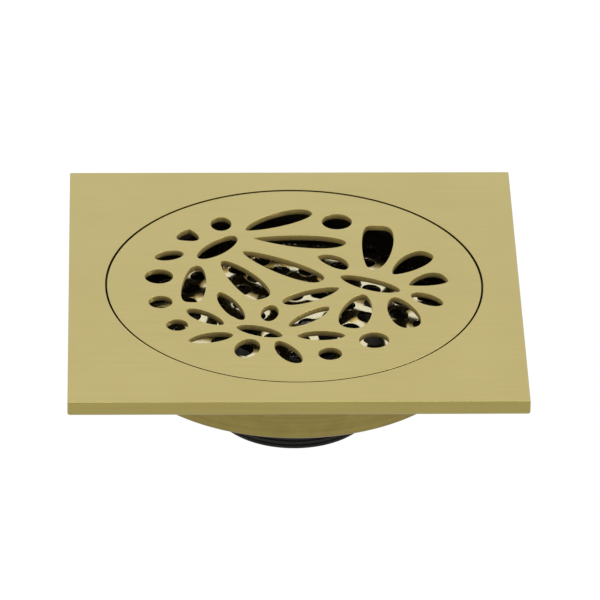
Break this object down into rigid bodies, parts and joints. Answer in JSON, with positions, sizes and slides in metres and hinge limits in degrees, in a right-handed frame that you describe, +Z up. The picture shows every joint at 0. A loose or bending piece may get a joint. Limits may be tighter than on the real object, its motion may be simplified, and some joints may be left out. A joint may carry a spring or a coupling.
{
  "type": "floor drain grate",
  "caption": "Square brass floor drain with a round petal-pattern grate, a domed hair strainer and a sprung odour-trap core under it.",
  "frame": {"origin": "on the ground under the middle of the plate, at the core's lower rim", "axes": "+Z up, along the axis of the cup, spigot and core; +X and +Y along the plate's edges"},
  "size_m": [0.1, 0.1, 0.032],
  "materials": {
    "brushed_brass": "horizontally brushed brass, satin gold",
    "satin_brass": "fine satin brass, laser-cut edges",
    "polished_brass": "pressed sheet, polished",
    "black_abs": "moulded ABS, light satin",
    "black_rubber": "moulded, ridged",
    "grey_silicone": "moulded, matt",
    "nitrile_rubber": "moulded, smooth",
    "spring_steel": "drawn stainless wire",
    "grey_abs": "moulded ABS",
    "white_silicone": "moulded, translucent white",
    "screw_steel": "turned stainless steel",
    "white_abs": "moulded ABS",
    "nut_steel": "turned stainless steel"
  },
  "bodies": {
    "drain": {"drain_body": "brushed_brass"},
    "grate": {"petal_grate": "satin_brass"},
    "strainer": {"hair_strainer": "polished_brass"},
    "core": {"core_housing": "black_abs", "seat_ring": "black_rubber", "core_gasket": "grey_silicone", "core_oring": "nitrile_rubber", "valve_spring": "spring_steel"},
    "valve": {"valve_disc": "grey_abs", "valve_seal": "white_silicone", "valve_screw": "screw_steel", "spring_cap": "white_abs", "stem_nut": "nut_steel"}
  },
  "joints": [
    {"name": "grate_lift", "type": "slide", "parent": "drain", "child": "grate", "axis": [0, 0, 1], "range_m": [0, 0.06]},
    {"name": "strainer_lift", "type": "slide", "parent": "drain", "child": "strainer", "axis": [0, 0, 1], "range_m": [0, 0.048]},
    {"name": "core_lift", "type": "slide", "parent": "drain", "child": "core", "axis": [0, 0, 1], "range_m": [0, 0.036]},
    {"name": "valve_travel", "type": "slide", "parent": "core", "child": "valve", "axis": [0, 0, -1], "range_m": [0, 0.007], "stiffness_N_per_m": 60, "springref_m": -0.004, "deforming": ["valve_spring"]}
  ],
  "couplings": [
    {"joint": "strainer_lift", "follows": "grate_lift", "ratio": 0.8},
    {"joint": "core_lift", "follows": "grate_lift", "ratio": 0.6}
  ]
}
